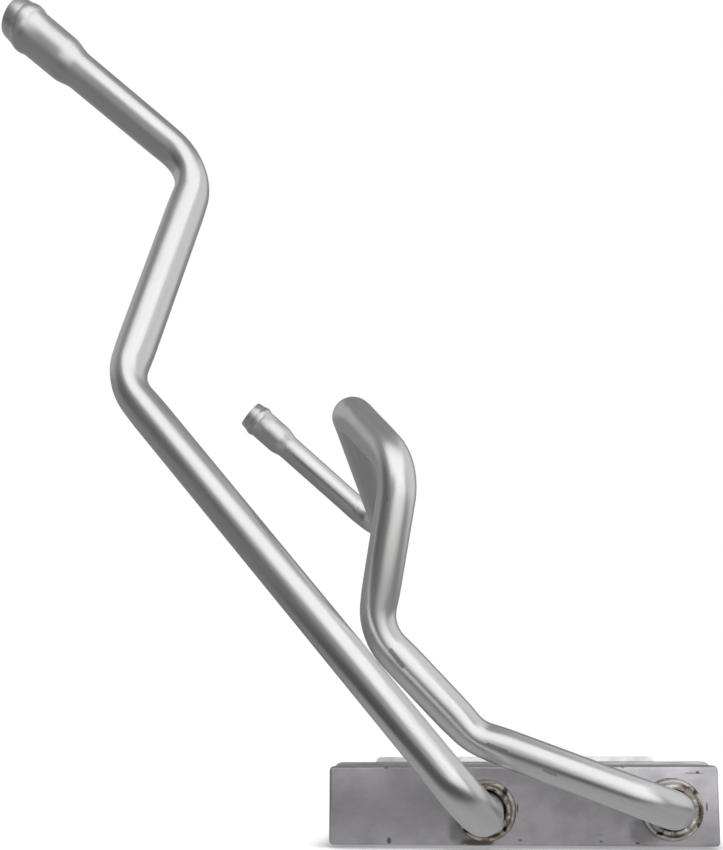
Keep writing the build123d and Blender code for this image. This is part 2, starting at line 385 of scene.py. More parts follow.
def blend(tree, share, first, second):
    """Mix two colours."""
    settings = {"data_type": "RGBA", "blend_type": "MIX"}
    return put(tree, "ShaderNodeMix", settings, _0=share, _6=first, _7=second).outputs[2]


def opaque(colour, level=1.0):
    """A property's colour as four numbers, made lighter or darker."""
    return tuple(channel * level for channel in colour) + (1.0,)


def stretched(tree, vector, scale, shift=(0.0, 0.0, 0.0)):
    """Coordinates with their own scale along each axis."""
    return put(tree, "ShaderNodeMapping", None, Vector=vector, Scale=scale, Location=shift).outputs[0]


def noise(tree, vector, scale, detail=3.0, roughness=0.55):
    """Plain noise from 0 to 1."""
    return put(tree, "ShaderNodeTexNoise", None, Vector=vector, Scale=scale, Detail=detail,
               Roughness=roughness).outputs[0]


def build_groups():
    """Effects that several materials share."""
    tree, given, result = new_group(
        "drawn_grain",
        (("Vector", "NodeSocketVector", None), ("Fineness", "NodeSocketFloat", 1.0)),
        (("Streaks", "NodeSocketFloat"), ("Cloud", "NodeSocketFloat"), ("Height", "NodeSocketFloat")))
    place = scaled(tree, given.outputs[0], given.outputs[1])
    fine = noise(tree, stretched(tree, place, (1300, 1300, 14)), 1.0, 2.0)
    coarse = noise(tree, stretched(tree, place, (480, 480, 6), (3.1, 7.7, 1.3)), 1.0, 3.0)
    cloud = noise(tree, stretched(tree, place, (120, 120, 45), (5.3, 2.9, 8.1)), 1.0, 4.0)
    streaks = calc(tree, "ADD", times(tree, fine, 0.3), times(tree, coarse, 0.7))
    tree.links.new(streaks, result.inputs[0])
    tree.links.new(cloud, result.inputs[1])
    tree.links.new(calc(tree, "ADD", streaks, times(tree, cloud, 0.35)), result.inputs[2])

    tree, given, result = new_group(
        "brazed_skin",
        (("Vector", "NodeSocketVector", None), ("Fineness", "NodeSocketFloat", 1.0)),
        (("Mottle", "NodeSocketFloat"), ("Specks", "NodeSocketFloat"), ("Height", "NodeSocketFloat")))
    place = scaled(tree, given.outputs[0], given.outputs[1])
    mottle = noise(tree, stretched(tree, place, (70, 70, 95)), 1.0, 5.0, 0.6)
    brush = noise(tree, stretched(tree, place, (60, 60, 1900), (1.0, 2.0, 3.0)), 1.0, 3.0)
    grit = noise(tree, place, 1500.0, 2.0, 0.6)
    specks = ramp(tree, noise(tree, place, 520.0, 2.0), 0.66, 0.76)
    tree.links.new(mottle, result.inputs[0])
    tree.links.new(specks, result.inputs[1])
    height = calc(tree, "ADD", times(tree, grit, 0.6), times(tree, brush, 0.5))
    tree.links.new(height, result.inputs[2])

    tree, given, result = new_group(
        "mark",
        (("Vector", "NodeSocketVector", None), ("Centre", "NodeSocketVector", (0.0, 0.0, 0.0)),
         ("Reach", "NodeSocketVector", (0.001, 0.001, 0.001)), ("Raggedness", "NodeSocketFloat", 0.3),
         ("Grain", "NodeSocketFloat", 900.0)),
        (("Mask", "NodeSocketFloat"),))
    away = vector_calc(tree, "SUBTRACT", given.outputs[0], given.outputs[1])
    far = vector_calc(tree, "LENGTH", vector_calc(tree, "DIVIDE", away, given.outputs[2]))
    ragged = noise(tree, given.outputs[0], given.outputs[4], 3.0, 0.5)
    wobble = times(tree, calc(tree, "SUBTRACT", ragged, 0.5), given.outputs[3])
    far = calc(tree, "ADD", far, times(tree, wobble, 2.0))
    tree.links.new(ramp(tree, far, 1.0, 0.45), result.inputs[0])

    tree, given, result = new_group(
        "scuff",
        (("Vector", "NodeSocketVector", None), ("Start", "NodeSocketVector", (0.0, 0.0, 0.0)),
         ("End", "NodeSocketVector", (0.0, 0.0, 0.01)), ("Width", "NodeSocketFloat", 0.001)),
        (("Mask", "NodeSocketFloat"),))
    run = vector_calc(tree, "SUBTRACT", given.outputs[2], given.outputs[1])
    off = vector_calc(tree, "SUBTRACT", given.outputs[0], given.outputs[1])
    reached = vector_calc(tree, "DOT_PRODUCT", off, run)
    whole = vector_calc(tree, "DOT_PRODUCT", run, run)
    nearest = scaled(tree, run, calc(tree, "DIVIDE", reached, whole, clamp=True))
    away = calc(tree, "DIVIDE", vector_calc(tree, "DISTANCE", off, nearest), given.outputs[3])
    ragged = calc(tree, "SUBTRACT", noise(tree, given.outputs[0], 1500.0, 3.0), 0.5)
    away = calc(tree, "ADD", away, times(tree, ragged, 0.7))
    tree.links.new(ramp(tree, away, 1.15, 0.6), result.inputs[0])


def start_material(name):
    """New node material; returns it, its tree and its Principled shader."""
    made = bpy.data.materials.new(name)
    made.use_nodes = True
    return made, made.node_tree, made.node_tree.nodes["Principled BSDF"]


def link(tree, shader, **sockets):
    """Link results onto the sockets of a shader."""
    feed(tree, shader, sockets)


def pipe_material(name, finish, mouth, marks=()):
    """Satin drawn tube: fine lines along it, a soft cloud of wear, a duller hose end and its scuffs."""
    made, tree, shader = start_material(name)
    drawn = put(tree, "ShaderNodeAttribute", {"attribute_name": "drawn"}).outputs["Vector"]
    place = put(tree, "ShaderNodeTexCoord").outputs["Object"]
    grain = group_node(tree, "drawn_grain", Vector=drawn)
    colour = blend(tree, ramp(tree, grain.outputs["Streaks"], 0.3, 0.7), opaque(finish.pipe_colour, 0.93),
                   opaque(finish.pipe_colour, 1.04))
    roughness = calc(tree, "ADD", ramp(tree, grain.outputs["Streaks"], 0.3, 0.7, 0.29, 0.34),
                     ramp(tree, grain.outputs["Cloud"], 0.35, 0.7, -0.015, 0.03))
    away = vector_calc(tree, "DISTANCE", place, TANK_FACE + Vector(mouth))
    roughness = calc(tree, "ADD", roughness, ramp(tree, away, *FORMED_REACH, FORMED_DULLNESS, 0.0))
    for start, end, width, tone in marks:
        mark = group_node(tree, "scuff", Vector=place, Start=start, End=end, Width=width).outputs[0]
        colour = blend(tree, times(tree, mark, tone), colour, SCUFF_TINT)
        roughness = calc(tree, "ADD", roughness, times(tree, mark, 0.25))
    bump = put(tree, "ShaderNodeBump", None, Strength=0.012, Distance=0.0001,
               Height=grain.outputs["Height"]).outputs[0]
    link(tree, shader, Base_Color=colour, Roughness=roughness, Normal=bump, Metallic=1.0)
    return made


def sheet_material(name, colour, rough, fineness=1.0, crown=0.0, marks=(), stains_and_shade=()):
    """Dull brazed sheet, mottled and speckled, with its marks, discoloured patches and patches of painted
    shadow; a crown bows it across Z.
    """
    made, tree, shader = start_material(name)
    place = put(tree, "ShaderNodeTexCoord").outputs["Object"]
    skin = group_node(tree, "brazed_skin", Vector=place, Fineness=fineness)
    shade = blend(tree, ramp(tree, skin.outputs["Mottle"], 0.3, 0.7), opaque(colour, 0.86),
                  opaque(colour, 1.08))
    shade = blend(tree, times(tree, skin.outputs["Specks"], 0.35), shade, opaque(colour, 0.6))
    roughness = ramp(tree, skin.outputs["Mottle"], 0.3, 0.7, rough + 0.05, rough - 0.04)
    height = skin.outputs["Height"]
    # Each patch is blended into the colour: brown flux, and grey painted shadow by the collars
    for centre, reach, tint, strength, raggedness in stains_and_shade:
        stain_and_shade = group_node(tree, "mark", Vector=place, Centre=centre, Reach=reach,
                           Raggedness=raggedness, Grain=260.0).outputs[0]
        shade = blend(tree, times(tree, stain_and_shade, strength), shade, tint)
        roughness = calc(tree, "ADD", roughness, times(tree, stain_and_shade, 0.12))
    for centre, reach, tint, strength in marks:
        mark = group_node(tree, "mark", Vector=place, Centre=centre, Reach=reach,
                          Raggedness=0.35, Grain=1500.0).outputs[0]
        shade = blend(tree, times(tree, mark, strength), shade, tint)
        height = calc(tree, "SUBTRACT", height, times(tree, mark, strength * 1.5))
    bump = put(tree, "ShaderNodeBump", None, Strength=0.25, Distance=0.0002, Height=height)
    if crown:
        split = put(tree, "ShaderNodeSeparateXYZ", None, Vector=place)
        across = calc(tree, "ADD", split.outputs["Z"], CROWN_DROP)
        bow = times(tree, times(tree, across, across), -crown)
        bowed = put(tree, "ShaderNodeBump", None, Strength=1.0, Distance=1.0, Height=bow).outputs[0]
        tree.links.new(bowed, bump.inputs["Normal"])
    link(tree, shader, Base_Color=shade, Roughness=roughness, Normal=bump.outputs[0], Metallic=1.0)
    return made


# Modelling helpers

def deselect_all():
    """Leave edit mode and select nothing."""
    if bpy.context.object and bpy.context.object.mode != "OBJECT":
        bpy.ops.object.mode_set(mode="OBJECT")
    bpy.ops.object.select_all(action="DESELECT")


def edit_mesh(piece):
    """The mesh of the piece that is being edited."""
    return bmesh.from_edit_mesh(piece.data)


def pick(piece, kind, wanted):
    """Select only the faces or edges that pass a test."""
    bpy.ops.mesh.select_mode(type={"faces": "FACE", "edges": "EDGE"}[kind])
    bpy.ops.mesh.select_all(action="DESELECT")
    mesh = edit_mesh(piece)
    for item in getattr(mesh, kind):
        if wanted(item):
            item.select_set(True)
    mesh.select_flush_mode()
    bmesh.update_edit_mesh(piece.data)


def finish_mesh(piece, smooth_angle=40.0):
    """Leave edit mode, put the object's place into its mesh and smooth it by angle."""
    if piece.mode != "OBJECT":
        bpy.ops.object.mode_set(mode="OBJECT")
    bpy.ops.object.transform_apply(location=True, rotation=True, scale=True)
    bpy.ops.object.shade_smooth_by_angle(angle=radians(smooth_angle))


def apply_modifier(piece, kind, **settings):
    """Add a modifier to the active piece and apply it."""
    made = piece.modifiers.new(kind.title(), kind)
    for name, value in settings.items():
        setattr(made, name, value)
    bpy.ops.object.modifier_apply(modifier=made.name)


def outward():
    """Point all faces of the piece in edit mode outwards."""
    bpy.ops.mesh.select_all(action="SELECT")
    bpy.ops.mesh.normals_make_consistent(inside=False)


def seat(piece, slot, material, *nodes):
    """Give a finished piece its material and its place in the part."""
    piece.data.materials.clear()
    piece.data.materials.append(material)
    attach(piece, "root")
    if nodes:
        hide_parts(*nodes)


def start_circle(name, radius, centre, vertices):
    """Start a piece as an open ring that faces along Y, in edit mode."""
    deselect_all()
    bpy.ops.mesh.primitive_circle_add(vertices=vertices, radius=radius, fill_type="NOTHING",
                                      location=centre, rotation=(pi / 2, 0.0, 0.0))
    piece = bpy.context.active_object
    piece.name = piece.data.name = name
    bpy.ops.object.transform_apply(location=True, rotation=True, scale=True)
    bpy.ops.object.mode_set(mode="EDIT")
    bpy.ops.mesh.select_all(action="SELECT")
    return piece


def extrude_ring(direction, step, centre, factor=1.0):
    """Extrude the selected ring, scale it about its new centre and return that centre."""
    bpy.ops.mesh.extrude_edges_move(TRANSFORM_OT_translate={"value": tuple(direction * step)})
    centre = centre + direction * step
    if factor != 1.0:
        bpy.ops.transform.resize(value=(factor, factor, factor), center_override=tuple(centre))
    return centre


def along_pipe(piece, length):
    """Write how far along the pipe the selected ring lies."""
    mesh = edit_mesh(piece)
    drawn = mesh.verts.layers.float_vector["drawn"]
    for vertex in mesh.verts:
        if vertex.select:
            vertex[drawn] = (vertex[drawn].x, vertex[drawn].y, length)


def hose_end_profile(sizes):
    """Steps of the formed end from the plain tube to the mouth: distance and radius."""
    tube = sizes.pipe_diameter / 2
    barrel = sizes.hose_diameter / 2
    bead = sizes.bead_diameter / 2
    lip = sizes.lip_diameter / 2
    profile = []
    for step in range(1, TAPER_STEPS + 1):
        share = step / TAPER_STEPS
        profile.append((TAPER_LENGTH * share, tube + (barrel - tube) * (3 - 2 * share) * share * share))
    profile.append((TAPER_LENGTH + BARREL_LENGTH / 2, barrel))
    start = TAPER_LENGTH + BARREL_LENGTH
    for step in range(BEAD_STEPS + 1):
        share = step / BEAD_STEPS
        profile.append((start + BEAD_LENGTH * share, barrel + (bead - barrel) * sin(pi * share) ** 0.8))
    start += BEAD_LENGTH
    for share in (0.1, 0.92):
        profile.append((start + LIP_LENGTH * share, barrel - (barrel - lip) * share))
    profile.append((start + LIP_LENGTH, lip - 0.0002))
    return profile


def bent_pipe(name, port, reach, corners, mouth, sizes):
    """Draw a ring out of the tank, spin it round each bend and form the hose end."""
    radius = sizes.pipe_diameter / 2
    profile = hose_end_profile(sizes)
    last_corner = TANK_FACE + Vector(corners[-1])
    mouth_point = TANK_FACE + Vector(mouth)
    outward_way = (mouth_point - last_corner).normalized()
    end_start = mouth_point - outward_way * profile[-1][0]
    start = TANK_FACE + port + Vector((0.0, PIPE_INSIDE_TANK, 0.0))
    points = [start, TANK_FACE + port - Vector((0.0, reach, 0.0))]
    points += [TANK_FACE + Vector(corner) for corner in corners] + [end_start]

    piece = start_circle(name, radius, start, PIPE_VERTICES)
    mesh = edit_mesh(piece)
    drawn = mesh.verts.layers.float_vector.new("drawn")
    for vertex in mesh.verts:
        vertex[drawn] = (vertex.co.x - start.x, vertex.co.z - start.z, 0.0)
    bmesh.update_edit_mesh(piece.data)
    bpy.ops.mesh.select_mode(type="EDGE")
    bpy.ops.mesh.select_all(action="SELECT")

    centre = start
    length = 0.0
    for before, corner, after in zip(points, points[1:], points[2:]):
        way_in = (corner - before).normalized()
        way_out = (after - corner).normalized()
        turn = way_in.angle(way_out)
        cut = sizes.bend_radius * tan(turn / 2)
        run = (corner - way_in * cut - centre).length
        axis = way_in.cross(way_out).normalized()
        radial = -axis.cross(way_in)
        reach_out = min(sizes.bend_run_out, RUN_OUT_SHARE * run)
        half = sizes.bend_radius * turn / 2 + reach_out

        def narrowing(travel):
            """Width that the ring keeps at a distance from where the flattening starts."""
            return 1.0 - sizes.bend_flattening * sin(pi * travel / (2 * half)) ** 2

        if run > reach_out:
            centre = extrude_ring(way_in, run - reach_out, centre)
            length += run - reach_out
            along_pipe(piece, length)
        squeezed = 1.0
        for step in range(1, RUN_OUT_STEPS + 1):
            centre = extrude_ring(way_in, reach_out / RUN_OUT_STEPS, centre)
            target = narrowing(reach_out * step / RUN_OUT_STEPS)
            squeeze_ring(piece, centre, radial, axis, squeezed, target)
            squeezed = target
            along_pipe(piece, length + reach_out * step / RUN_OUT_STEPS)
        length += reach_out
        pivot = centre - radial * sizes.bend_radius
        steps = max(6, round(turn / radians(BEND_STEP)))
        for step in range(1, steps + 1):
            bpy.ops.mesh.spin(steps=1, angle=-turn / steps, center=tuple(pivot), axis=tuple(axis))
            centre = pivot + Matrix.Rotation(turn / steps, 3, axis) @ (centre - pivot)
            travel = sizes.bend_radius * turn * step / steps
            target = narrowing(reach_out + travel)
            radial = (centre - pivot).normalized()
            squeeze_ring(piece, centre, radial, axis, squeezed, target)
            squeezed = target
            along_pipe(piece, length + travel)
        length += sizes.bend_radius * turn
        for step in range(1, RUN_OUT_STEPS + 1):
            centre = extrude_ring(way_out, reach_out / RUN_OUT_STEPS, centre)
            target = narrowing(2 * half - reach_out * (1 - step / RUN_OUT_STEPS))
            squeeze_ring(piece, centre, radial, axis, squeezed, target)
            squeezed = target
            along_pipe(piece, length + reach_out * step / RUN_OUT_STEPS)
        length += reach_out
    run = (end_start - centre).length
    centre = extrude_ring(outward_way, run, centre)
    length += run
    along_pipe(piece, length)
    reached, width = 0.0, radius
    for distance, new_width in profile:
        centre = extrude_ring(outward_way, distance - reached, centre, new_width / width)
        length += distance - reached
        reached, width = distance, new_width
        along_pipe(piece, length)
    outward()
    bpy.ops.object.mode_set(mode="OBJECT")
    apply_modifier(piece, "SOLIDIFY", thickness=sizes.pipe_wall, offset=-1.0, use_rim=True)
    finish_mesh(piece, 50.0)
    return piece


def squeeze_ring(piece, centre, radial, axis, before, after):
    """Take the selected ring from one narrowing to the next, and let it swell half as much across."""
    narrower = after / before
    wider = (1.5 - after / 2) / (1.5 - before / 2)
    for vertex in edit_mesh(piece).verts:
        if vertex.select:
            off = vertex.co - centre
            vertex.co += radial * off.dot(radial) * (narrower - 1.0) + axis * off.dot(axis) * (wider - 1.0)


# Operators, one for each piece or group of like pieces

class HEATERCORE_OT_water_pipes(bpy.types.Operator):
    """Draw both bent water pipes with their beaded hose ends"""
    bl_idname = "heatercore.water_pipes"
    bl_label = "Water Pipes"

    def execute(self, context):
        sizes = context.scene.heater_core_sizes
        finish = context.scene.heater_core_finish
        left = bent_pipe("left_water_pipe", LEFT_PORT, LEFT_REACH, LEFT_CORNERS, LEFT_MOUTH, sizes)
        plain = pipe_material("drawn_pipe_left", finish, LEFT_MOUTH)
        seat(left, "pipe", plain, "left_pipe")
        right = bent_pipe("right_water_pipe", RIGHT_PORT, RIGHT_REACH, RIGHT_CORNERS, RIGHT_MOUTH, sizes)
        scuffed = pipe_material("drawn_pipe_right", finish, RIGHT_MOUTH, RIGHT_SCUFFS)
        seat(right, "pipe", scuffed, "right_pipe")
        return {"FINISHED"}


class HEATERCORE_OT_sheet_parts(bpy.types.Operator):
    """Finish the tanks, headers, side plates, tubes and baffle"""
    bl_idname = "heatercore.sheet_parts"
    bl_label = "Sheet Parts"

    def execute(self, context):
        finish = context.scene.heater_core_finish
        marks = [(on_face(x, z), (wide, 0.002, high), MARK_TINT, strength)
                 for x, z, wide, high, strength in TANK_MARKS]
        stains_and_shade = [(on_face(x, z), (wide, 0.003, high), tint + (1.0,), strength, ragged)
                  for x, z, wide, high, tint, strength, ragged in TANK_STAINS_AND_SHADE]
        tank = sheet_material("tank_skin", finish.tank_colour, 0.4, crown=3.8, marks=marks, stains_and_shade=stains_and_shade)
        core = sheet_material("core_skin", finish.tank_colour, 0.45, crown=2.0)
        # The far end's sheets take the lighter colour, a painted highlight for their lit rim
        far = sheet_material("far_end_skin", finish.lit_far_colour, 0.45)
        far_rim = sheet_material("far_rim_skin", finish.lit_far_colour, 0.42, crown=7.0)
        tube = sheet_material("tube_skin", finish.foil_colour, 0.4, 1.6)
        for name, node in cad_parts.items():
            if name == "return_tank":
                material = far
            elif name == "rear_header":
                material = far_rim
            elif name == "inlet_outlet_tank":
                material = tank
            elif name.startswith("flat_tube"):
                material = tube
            else:
                material = core
            node.data.materials.clear()
            node.data.materials.append(material)
        return {"FINISHED"}


class HEATERCORE_OT_fin_strips(bpy.types.Operator):
    """Fold one fin strip and copy it into every gap between the tubes"""
    bl_idname = "heatercore.fin_strips"
    bl_label = "Fin Strips"

    def execute(self, context):
        sizes = context.scene.heater_core_sizes
        finish = context.scene.heater_core_finish
        material = foil_material(finish)
        low, high = (Vector(corner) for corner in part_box("fin_strip_01"))
        first = folded_strip(low, high, sizes)
        for index in range(1, FIN_STRIPS + 1):
            node = f"fin_strip_{index:02d}"
            strip = first
            if index > 1:
                strip = first.copy()
                strip.data = first.data.copy()
                context.scene.collection.objects.link(strip)
                strip.data.transform(Matrix.Translation(Vector(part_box(node)[0]) - low))
            strip.name = strip.data.name = f"folded_fin_{index:02d}"
            seat(strip, "fin_sheet", material, node)
        return {"FINISHED"}


def folded_strip(low, high, sizes):
    """One wave of foil, rounded at its crests, repeated along the strip."""
    deselect_all()
    wave = (high.y - low.y) / sizes.fin_waves
    crest = wave * CREST_SHARE
    inset = sizes.foil / 2
    middle = (low.x + inset, low.y + crest / 2, (low.z + high.z) / 2)
    bpy.ops.mesh.primitive_plane_add(size=1.0, location=middle, rotation=(0.0, pi / 2, 0.0))
    strip = bpy.context.active_object
    bpy.ops.object.transform_apply(location=True, rotation=True, scale=True)
    bpy.ops.object.mode_set(mode="EDIT")
    bpy.ops.mesh.select_all(action="SELECT")
    bpy.ops.transform.resize(value=(1.0, crest, high.z - low.z), center_override=middle)
    across = high.x - low.x - 2 * inset
    lean = wave / 2 - crest
    curl = crest * CURL_SHARE
    for step in ((curl, curl), (across - 2 * curl, lean - 2 * curl), (curl, curl), (0.0, crest),
                 (-curl, curl), (2 * curl - across, lean - 2 * curl), (-curl, curl)):
        end = max(vertex.co.y for vertex in edit_mesh(strip).verts)
        pick(strip, "edges", lambda edge: all(abs(vertex.co.y - end) < 1e-6 for vertex in edge.verts))
        bpy.ops.mesh.extrude_edges_move(TRANSFORM_OT_translate={"value": (step[0], step[1], 0.0)})
    bpy.ops.object.mode_set(mode="OBJECT")
    apply_modifier(strip, "ARRAY", count=sizes.fin_waves, use_relative_offset=False, use_constant_offset=True,
                   constant_offset_displace=(0.0, wave, 0.0), use_merge_vertices=True, merge_threshold=1e-5)
    apply_modifier(strip, "SOLIDIFY", thickness=sizes.foil, offset=0.0)
    bpy.ops.object.mode_set(mode="EDIT")
    outward()
    finish_mesh(strip, 35.0)
    return strip


def foil_material(finish):
    """Thin bright foil with rows of louvres pressed across the air's path, darkened along each louvre's fold
    as painted shade.
    """
    made, tree, shader = start_material("fin_foil")
    place = put(tree, "ShaderNodeTexCoord").outputs["Object"]
    skin = group_node(tree, "brazed_skin", Vector=place, Fineness=2.0)
    split = put(tree, "ShaderNodeSeparateXYZ", None, Vector=place)
    louvre = calc(tree, "PINGPONG", split.outputs["Z"], HALF_LOUVRE)
    ridge = ramp(tree, louvre, 0.0, HALF_LOUVRE)
    shade = blend(tree, ramp(tree, skin.outputs["Mottle"], 0.3, 0.7), opaque(finish.foil_colour, 0.85),
                  opaque(finish.foil_colour, 1.06))
    # Painted shade: a dark line along the fold at the foot of each louvre
    shade = blend(tree, ramp(tree, louvre, 0.0001, 0.0, 0.0, 0.5), shade, opaque(finish.foil_colour, 0.35))
    bump = put(tree, "ShaderNodeBump", None, Strength=0.5, Distance=0.0003, Height=ridge).outputs[0]
    link(tree, shader, Base_Color=shade, Roughness=ramp(tree, skin.outputs["Mottle"], 0.3, 0.7, 0.36, 0.28),
         Normal=bump, Metallic=1.0)
    return made


class HEATERCORE_OT_collars(bpy.types.Operator):
    """Raise a collar round each port and stake it onto its pipe"""
    bl_idname = "heatercore.collars"
    bl_label = "Port Collars"

    def execute(self, context):
        sizes = context.scene.heater_core_sizes
        finish = context.scene.heater_core_finish
        for side, port, stakes, tints in (("left", LEFT_PORT, LEFT_STAKES, LEFT_TINTS),
                                          ("right", RIGHT_PORT, RIGHT_STAKES, RIGHT_TINTS)):
            collar = staked_collar(f"{side}_port_collar", port, stakes, sizes)
            material = collar_material(f"{side}_collar_skin", finish, port, tints)
            seat(collar, "collar", material, f"{side}_collar")
        return {"FINISHED"}


def staked_collar(name, port, stakes, sizes):
    """Raise a thin ring from its braze fillet and push stakes from its wall onto the pipe."""
    centre = TANK_FACE + port
    outer = sizes.collar_diameter / 2
    height = sizes.collar_height
    wall = outer - sizes.collar_wall
    pipe = sizes.pipe_diameter / 2
    bed = height - BED_DEPTH
    profile = (
        (outer + 0.0004, 0.0), (outer + 0.0002, 0.0002), (outer, 0.0006), (outer, height - 0.0012),
        (outer - 0.0002, height - 0.0006), (outer - 0.0006, height - 0.0001), (outer - 0.0010, height),
        (outer - 0.0014, height - 0.0002), (wall, height - 0.0009), (wall - 0.0003, bed),
        (wall - 0.0010, bed), (pipe + 0.0013, bed), (pipe + 0.0007, bed - 0.0004),
        (pipe + 0.0002, bed - 0.0012),
    )
    piece = start_circle(name, profile[0][0], centre - Vector((0.0, profile[0][1], 0.0)), COLLAR_VERTICES)
    bpy.ops.mesh.select_mode(type="EDGE")
    bpy.ops.mesh.select_all(action="SELECT")
    for (radius, rise), (new_radius, new_rise) in zip(profile, profile[1:]):
        bpy.ops.mesh.extrude_edges_move(TRANSFORM_OT_translate={"value": (0.0, rise - new_rise, 0.0)})
        factor = new_radius / radius
        bpy.ops.transform.resize(value=(factor, 1.0, factor), center_override=tuple(centre))
    inner, outer_bed = pipe + 0.0010, wall
    for angle, half_width, lift in stakes:
        way = Vector((cos(radians(angle)), 0.0, sin(radians(angle))))

        def on_bed(face):
            """True for a level face of the braze bed that lies within the stake's angle."""
            off = face.calc_center_median() - centre
            flat = Vector((off.x, 0.0, off.z))
            level = abs(face.normal.y) > 0.8
            return level and inner < flat.length < outer_bed and flat.angle(way) < radians(half_width)

        pick(piece, "faces", on_bed)
        for step, narrow in ((0.5, 0.93), (0.35, 0.85), (0.15, 0.6)):
            bpy.ops.mesh.extrude_region_move(TRANSFORM_OT_translate={"value": (0.0, -lift * step, 0.0)})
            bpy.ops.transform.resize(value=(narrow, 1.0, narrow))
    outward()
    bpy.ops.object.mode_set(mode="OBJECT")
    apply_modifier(piece, "SUBSURF", levels=2, render_levels=2)
    finish_mesh(piece, 60.0)
    return piece


def collar_material(name, finish, port, tints):
    """Brazed collar, pale on its crown, with a darker braze bed, painted shadow in the gap round the pipe, a
    foot darkened by burnt flux and painted contact shadow, and the heat and flux tints of its port.
    """
    made, tree, shader = start_material(name)
    place = put(tree, "ShaderNodeTexCoord").outputs["Object"]
    centre = TANK_FACE + port
    local = vector_calc(tree, "SUBTRACT", place, centre)
    split = put(tree, "ShaderNodeSeparateXYZ", None, Vector=local)
    square = calc(tree, "ADD", times(tree, split.outputs["X"], split.outputs["X"]),
                  times(tree, split.outputs["Z"], split.outputs["Z"]))
    away = calc(tree, "SQRT", square)
    rise = times(tree, split.outputs["Y"], -1.0)
    skin = group_node(tree, "brazed_skin", Vector=place, Fineness=1.5)
    patches = noise(tree, place, 330.0, 4.0, 0.6)
    ragged = times(tree, calc(tree, "SUBTRACT", patches, 0.5), 0.0016)
    shade = blend(tree, ramp(tree, patches, 0.35, 0.65), opaque(finish.collar_colour, 0.82),
                  opaque(finish.collar_colour, 1.12))
    bed = ramp(tree, calc(tree, "ADD", rise, times(tree, ragged, 0.4)), *BED_RISE)
    inside = ramp(tree, away, *BED_EDGE)
    shade = blend(tree, times(tree, times(tree, bed, inside), 0.55), shade, BED_TINT)
    # Painted shadow: the colour darkens in the gap round the pipe
    gap = ramp(tree, calc(tree, "ADD", away, times(tree, ragged, 0.5)), *GAP_EDGE)
    shade = blend(tree, times(tree, gap, 0.85), shade, GAP_SHADOW_TINT)
    for x, z, wide, high, tint, strength in tints:
        patch = group_node(tree, "mark", Vector=local, Centre=(x, -0.002, z), Reach=(wide, 0.02, high),
                           Raggedness=0.5, Grain=1100.0).outputs[0]
        shade = blend(tree, times(tree, patch, strength), shade, tint + (1.0,))
    # The foot where the collar meets the tank: burnt flux and painted contact shadow
    foot = ramp(tree, calc(tree, "ADD", away, ragged), *FOOT_EDGE, 0.0, 0.7)
    low = ramp(tree, rise, *FOOT_RISE)
    shade = blend(tree, times(tree, foot, low), shade, opaque(finish.flux_and_shade_colour))
    bump = put(tree, "ShaderNodeBump", None, Strength=0.5, Distance=0.0004,
               Height=calc(tree, "ADD", patches, times(tree, skin.outputs["Height"], 0.3))).outputs[0]
    link(tree, shader, Base_Color=shade, Roughness=ramp(tree, patches, 0.35, 0.65, 0.5, 0.36),
         Normal=bump, Metallic=1.0)
    return made


class HEATERCORE_OT_stage(bpy.types.Operator):
    """Add the floor, the soft studio light and the camera"""
    bl_idname = "heatercore.stage"
    bl_label = "Stage"

    def execute(self, context):
        finish = context.scene.heater_core_finish
        deselect_all()
        floor_height = CAD_BOX[0][2]
        bpy.ops.mesh.primitive_plane_add(size=TABLE_SIZE, location=(0.0, TANK_FACE.y, floor_height))
        floor = context.active_object
        floor.name = floor.data.name = "floor"
        bpy.ops.object.mode_set(mode="EDIT")
        bpy.ops.mesh.subdivide(number_cuts=8)
        finish_mesh(floor)
        floor.data.materials.append(floor_material(finish))
        context.scene.world = studio_world()
        context.scene.view_settings.view_transform = "Standard"

        for name, *place_and_size in SOFT_BOXES:
            add_light(name, TANK_FACE + Vector(LIGHT_TARGET), *place_and_size)
        context.scene.camera = add_camera()
        return {"FINISHED"}


